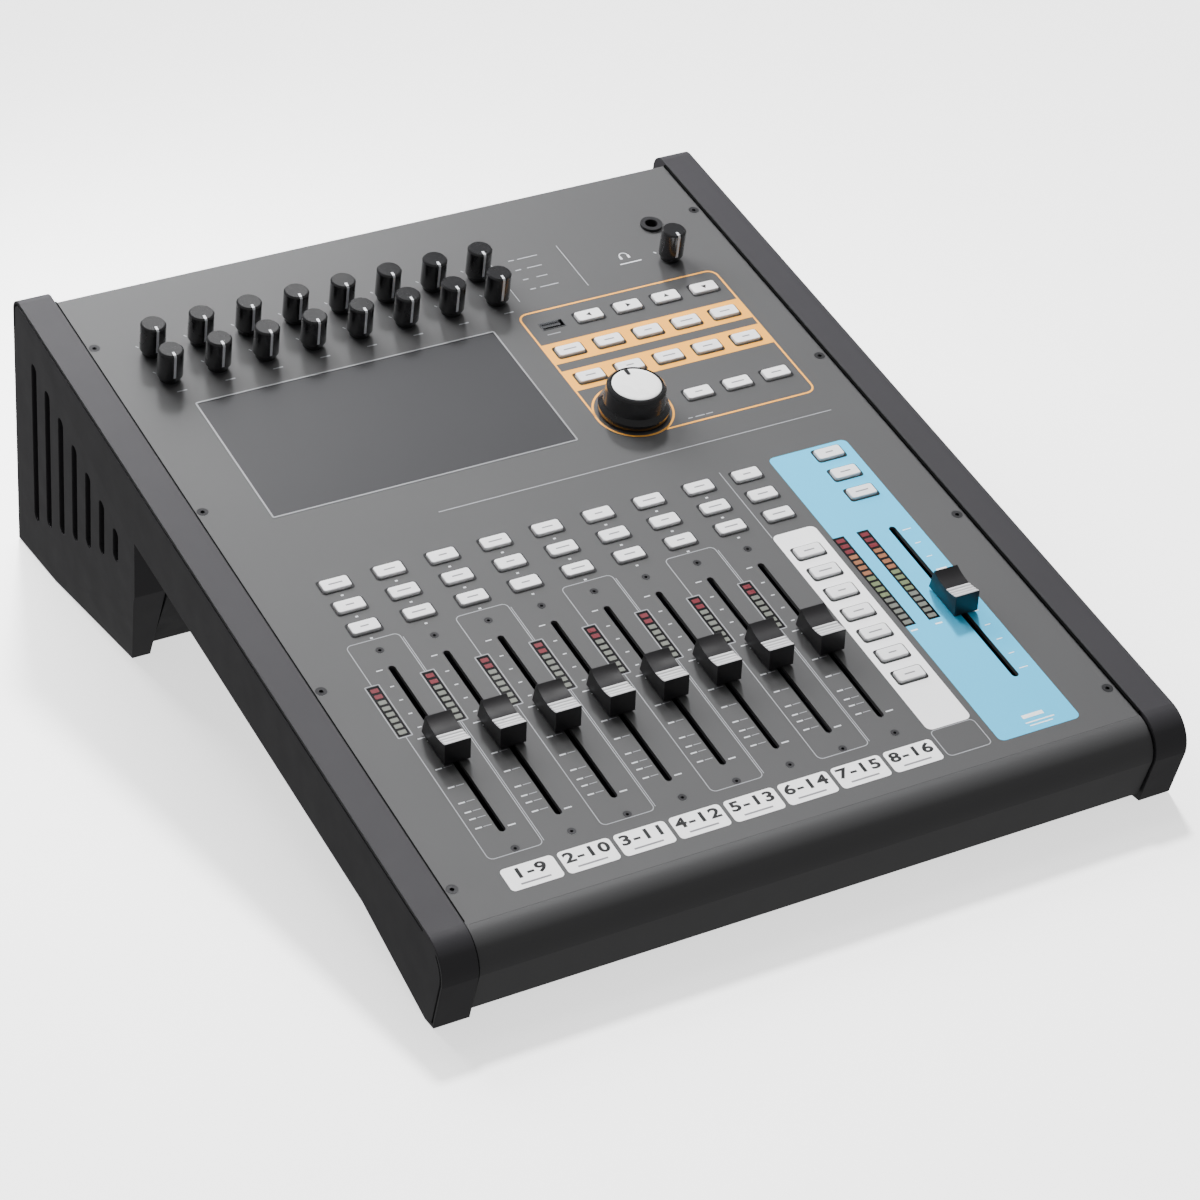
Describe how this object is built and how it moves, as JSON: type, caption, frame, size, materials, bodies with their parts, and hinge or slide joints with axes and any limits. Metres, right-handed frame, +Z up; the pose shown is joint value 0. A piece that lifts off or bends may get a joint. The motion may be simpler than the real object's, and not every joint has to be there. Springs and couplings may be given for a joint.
{
  "type": "mixing console",
  "caption": "Digital mixing console: sloped panel with long-throw faders, gain knobs, touch display, key banks, side cheeks and rear sockets.",
  "frame": {"origin": "on the ground, at the middle of the footprint", "axes": "+X to the operator's right, +Y to the rear, +Z up"},
  "size_m": [0.367, 0.4846, 0.1531],
  "materials": {
    "panel_grey": "satin",
    "cheek_grey": "satin",
    "pan_black": "fine texture",
    "key_white": "satin",
    "knob_black": "gloss",
    "cap_black": "satin",
    "screen": "gloss",
    "meter_lens": "gloss",
    "socket_black": "moulded",
    "board_green": "solder mask",
    "steel": "brushed",
    "chrome": "polished",
    "screw_black": "black oxide",
    "foot_rubber": "matt",
    "aluminium": "satin"
  },
  "bodies": {
    "console": {"base_pan": "pan_black", "casing_screws": "screw_black", "cheek_left": "cheek_grey", "cheek_right": "cheek_grey", "display_glass": "screen", "display_module": "steel", "encoder_body": "steel", "fader_frames": "steel", "fader_motors": "chrome", "front_nose": "panel_grey", "gain_pots": "steel", "input_sockets": "socket_black", "key_boards": "board_green", "main_board": "board_green", "mains_inlet": "socket_black", "meter_windows": "meter_lens", "output_sockets": "socket_black", "phones_socket": "socket_black", "power_supply": "aluminium", "rear_panel": "pan_black", "rubber_feet": "foot_rubber", "top_panel": "panel_grey", "usb_socket": "chrome"},
    "gain_knob_1": {"gain_knob_1": "knob_black"},
    "gain_knob_2": {"gain_knob_2": "knob_black"},
    "gain_knob_3": {"gain_knob_3": "knob_black"},
    "gain_knob_4": {"gain_knob_4": "knob_black"},
    "gain_knob_5": {"gain_knob_5": "knob_black"},
    "gain_knob_6": {"gain_knob_6": "knob_black"},
    "gain_knob_7": {"gain_knob_7": "knob_black"},
    "gain_knob_8": {"gain_knob_8": "knob_black"},
    "gain_knob_9": {"gain_knob_9": "knob_black"},
    "gain_knob_10": {"gain_knob_10": "knob_black"},
    "gain_knob_11": {"gain_knob_11": "knob_black"},
    "gain_knob_12": {"gain_knob_12": "knob_black"},
    "gain_knob_13": {"gain_knob_13": "knob_black"},
    "gain_knob_14": {"gain_knob_14": "knob_black"},
    "gain_knob_15": {"gain_knob_15": "knob_black"},
    "gain_knob_16": {"gain_knob_16": "knob_black"},
    "phones_knob": {"phones_knob": "knob_black"},
    "encoder_knob": {"encoder_knob": "knob_black"},
    "fader_cap_1": {"fader_cap_1": "cap_black"},
    "fader_cap_2": {"fader_cap_2": "cap_black"},
    "fader_cap_3": {"fader_cap_3": "cap_black"},
    "fader_cap_4": {"fader_cap_4": "cap_black"},
    "fader_cap_5": {"fader_cap_5": "cap_black"},
    "fader_cap_6": {"fader_cap_6": "cap_black"},
    "fader_cap_7": {"fader_cap_7": "cap_black"},
    "fader_cap_8": {"fader_cap_8": "cap_black"},
    "master_fader_cap": {"master_fader_cap": "cap_black"},
    "mute_keys": {"mute_keys": "key_white"},
    "solo_keys": {"solo_keys": "key_white"},
    "select_keys": {"select_keys": "key_white"},
    "bus_keys": {"bus_keys": "key_white"},
    "master_keys": {"master_keys": "key_white"},
    "layer_keys": {"layer_keys": "key_white"},
    "page_keys": {"page_keys": "key_white"},
    "function_keys": {"function_keys": "key_white"},
    "edit_keys": {"edit_keys": "key_white"},
    "power_rocker": {"power_rocker": "cap_black"}
  },
  "joints": [
    {"name": "gain_knob_1_turn", "type": "hinge", "parent": "console", "child": "gain_knob_1", "pos_m": [-0.1385, 0.14577, 0.13514], "axis": [0, -0.2334, 0.9724], "range_deg": [-310, 0]},
    {"name": "gain_knob_2_turn", "type": "hinge", "parent": "console", "child": "gain_knob_2", "pos_m": [-0.114, 0.14577, 0.13514], "axis": [0, -0.2334, 0.9724], "range_deg": [-310, 0]},
    {"name": "gain_knob_3_turn", "type": "hinge", "parent": "console", "child": "gain_knob_3", "pos_m": [-0.0895, 0.14577, 0.13514], "axis": [0, -0.2334, 0.9724], "range_deg": [-310, 0]},
    {"name": "gain_knob_4_turn", "type": "hinge", "parent": "console", "child": "gain_knob_4", "pos_m": [-0.065, 0.14577, 0.13514], "axis": [0, -0.2334, 0.9724], "range_deg": [-310, 0]},
    {"name": "gain_knob_5_turn", "type": "hinge", "parent": "console", "child": "gain_knob_5", "pos_m": [-0.0405, 0.14577, 0.13514], "axis": [0, -0.2334, 0.9724], "range_deg": [-310, 0]},
    {"name": "gain_knob_6_turn", "type": "hinge", "parent": "console", "child": "gain_knob_6", "pos_m": [-0.016, 0.14577, 0.13514], "axis": [0, -0.2334, 0.9724], "range_deg": [-310, 0]},
    {"name": "gain_knob_7_turn", "type": "hinge", "parent": "console", "child": "gain_knob_7", "pos_m": [0.0085, 0.14577, 0.13514], "axis": [0, -0.2334, 0.9724], "range_deg": [-310, 0]},
    {"name": "gain_knob_8_turn", "type": "hinge", "parent": "console", "child": "gain_knob_8", "pos_m": [0.033, 0.14577, 0.13514], "axis": [0, -0.2334, 0.9724], "range_deg": [-310, 0]},
    {"name": "gain_knob_9_turn", "type": "hinge", "parent": "console", "child": "gain_knob_9", "pos_m": [-0.1385, 0.12574, 0.13033], "axis": [0, -0.2334, 0.9724], "range_deg": [-310, 0]},
    {"name": "gain_knob_10_turn", "type": "hinge", "parent": "console", "child": "gain_knob_10", "pos_m": [-0.114, 0.12574, 0.13033], "axis": [0, -0.2334, 0.9724], "range_deg": [-310, 0]},
    {"name": "gain_knob_11_turn", "type": "hinge", "parent": "console", "child": "gain_knob_11", "pos_m": [-0.0895, 0.12574, 0.13033], "axis": [0, -0.2334, 0.9724], "range_deg": [-310, 0]},
    {"name": "gain_knob_12_turn", "type": "hinge", "parent": "console", "child": "gain_knob_12", "pos_m": [-0.065, 0.12574, 0.13033], "axis": [0, -0.2334, 0.9724], "range_deg": [-310, 0]},
    {"name": "gain_knob_13_turn", "type": "hinge", "parent": "console", "child": "gain_knob_13", "pos_m": [-0.0405, 0.12574, 0.13033], "axis": [0, -0.2334, 0.9724], "range_deg": [-310, 0]},
    {"name": "gain_knob_14_turn", "type": "hinge", "parent": "console", "child": "gain_knob_14", "pos_m": [-0.016, 0.12574, 0.13033], "axis": [0, -0.2334, 0.9724], "range_deg": [-310, 0]},
    {"name": "gain_knob_15_turn", "type": "hinge", "parent": "console", "child": "gain_knob_15", "pos_m": [0.0085, 0.12574, 0.13033], "axis": [0, -0.2334, 0.9724], "range_deg": [-310, 0]},
    {"name": "gain_knob_16_turn", "type": "hinge", "parent": "console", "child": "gain_knob_16", "pos_m": [0.033, 0.12574, 0.13033], "axis": [0, -0.2334, 0.9724], "range_deg": [-310, 0]},
    {"name": "phones_knob_turn", "type": "hinge", "parent": "console", "child": "phones_knob", "pos_m": [0.131, 0.1273, 0.13071], "axis": [0, -0.2334, 0.9724], "range_deg": [-310, 0]},
    {"name": "encoder_knob_turn", "type": "hinge", "parent": "console", "child": "encoder_knob", "pos_m": [0.0563, 0.03074, 0.10753], "axis": [0, -0.2334, 0.9724], "continuous": true},
    {"name": "fader_cap_1_slide", "type": "slide", "parent": "console", "child": "fader_cap_1", "axis": [0, 0.9724, 0.2334], "range_m": [-0.05, 0.05]},
    {"name": "fader_cap_2_slide", "type": "slide", "parent": "console", "child": "fader_cap_2", "axis": [0, 0.9724, 0.2334], "range_m": [-0.05, 0.05]},
    {"name": "fader_cap_3_slide", "type": "slide", "parent": "console", "child": "fader_cap_3", "axis": [0, 0.9724, 0.2334], "range_m": [-0.05, 0.05]},
    {"name": "fader_cap_4_slide", "type": "slide", "parent": "console", "child": "fader_cap_4", "axis": [0, 0.9724, 0.2334], "range_m": [-0.05, 0.05]},
    {"name": "fader_cap_5_slide", "type": "slide", "parent": "console", "child": "fader_cap_5", "axis": [0, 0.9724, 0.2334], "range_m": [-0.05, 0.05]},
    {"name": "fader_cap_6_slide", "type": "slide", "parent": "console", "child": "fader_cap_6", "axis": [0, 0.9724, 0.2334], "range_m": [-0.05, 0.05]},
    {"name": "fader_cap_7_slide", "type": "slide", "parent": "console", "child": "fader_cap_7", "axis": [0, 0.9724, 0.2334], "range_m": [-0.05, 0.05]},
    {"name": "fader_cap_8_slide", "type": "slide", "parent": "console", "child": "fader_cap_8", "axis": [0, 0.9724, 0.2334], "range_m": [-0.05, 0.05]},
    {"name": "master_fader_cap_slide", "type": "slide", "parent": "console", "child": "master_fader_cap", "axis": [0, 0.9724, 0.2334], "range_m": [-0.05, 0.05]},
    {"name": "mute_keys_slide", "type": "slide", "parent": "console", "child": "mute_keys", "axis": [0, 0.2334, -0.9724], "range_m": [0, 0.0005], "stiffness_N_per_m": 4800, "springref_m": -0.0002},
    {"name": "solo_keys_slide", "type": "slide", "parent": "console", "child": "solo_keys", "axis": [0, 0.2334, -0.9724], "range_m": [0, 0.0005], "stiffness_N_per_m": 4800, "springref_m": -0.0002},
    {"name": "select_keys_slide", "type": "slide", "parent": "console", "child": "select_keys", "axis": [0, 0.2334, -0.9724], "range_m": [0, 0.0005], "stiffness_N_per_m": 4800, "springref_m": -0.0002},
    {"name": "bus_keys_slide", "type": "slide", "parent": "console", "child": "bus_keys", "axis": [0, 0.2334, -0.9724], "range_m": [0, 0.0005], "stiffness_N_per_m": 1800, "springref_m": -0.0002},
    {"name": "master_keys_slide", "type": "slide", "parent": "console", "child": "master_keys", "axis": [0, 0.2334, -0.9724], "range_m": [0, 0.0005], "stiffness_N_per_m": 1800, "springref_m": -0.0002},
    {"name": "layer_keys_slide", "type": "slide", "parent": "console", "child": "layer_keys", "axis": [0, 0.2334, -0.9724], "range_m": [0, 0.0005], "stiffness_N_per_m": 4200, "springref_m": -0.0002},
    {"name": "page_keys_slide", "type": "slide", "parent": "console", "child": "page_keys", "axis": [0, 0.2334, -0.9724], "range_m": [0, 0.0005], "stiffness_N_per_m": 2400, "springref_m": -0.0002},
    {"name": "function_keys_slide", "type": "slide", "parent": "console", "child": "function_keys", "axis": [0, 0.2334, -0.9724], "range_m": [0, 0.0005], "stiffness_N_per_m": 6000, "springref_m": -0.0002},
    {"name": "edit_keys_slide", "type": "slide", "parent": "console", "child": "edit_keys", "axis": [0, 0.2334, -0.9724], "range_m": [0, 0.0005], "stiffness_N_per_m": 1800, "springref_m": -0.0002},
    {"name": "power_rocker_turn", "type": "hinge", "parent": "console", "child": "power_rocker", "pos_m": [0.125, 0.21162, 0.06477], "axis": [1, 0, 0], "range_deg": [0, 16]}
  ]
}
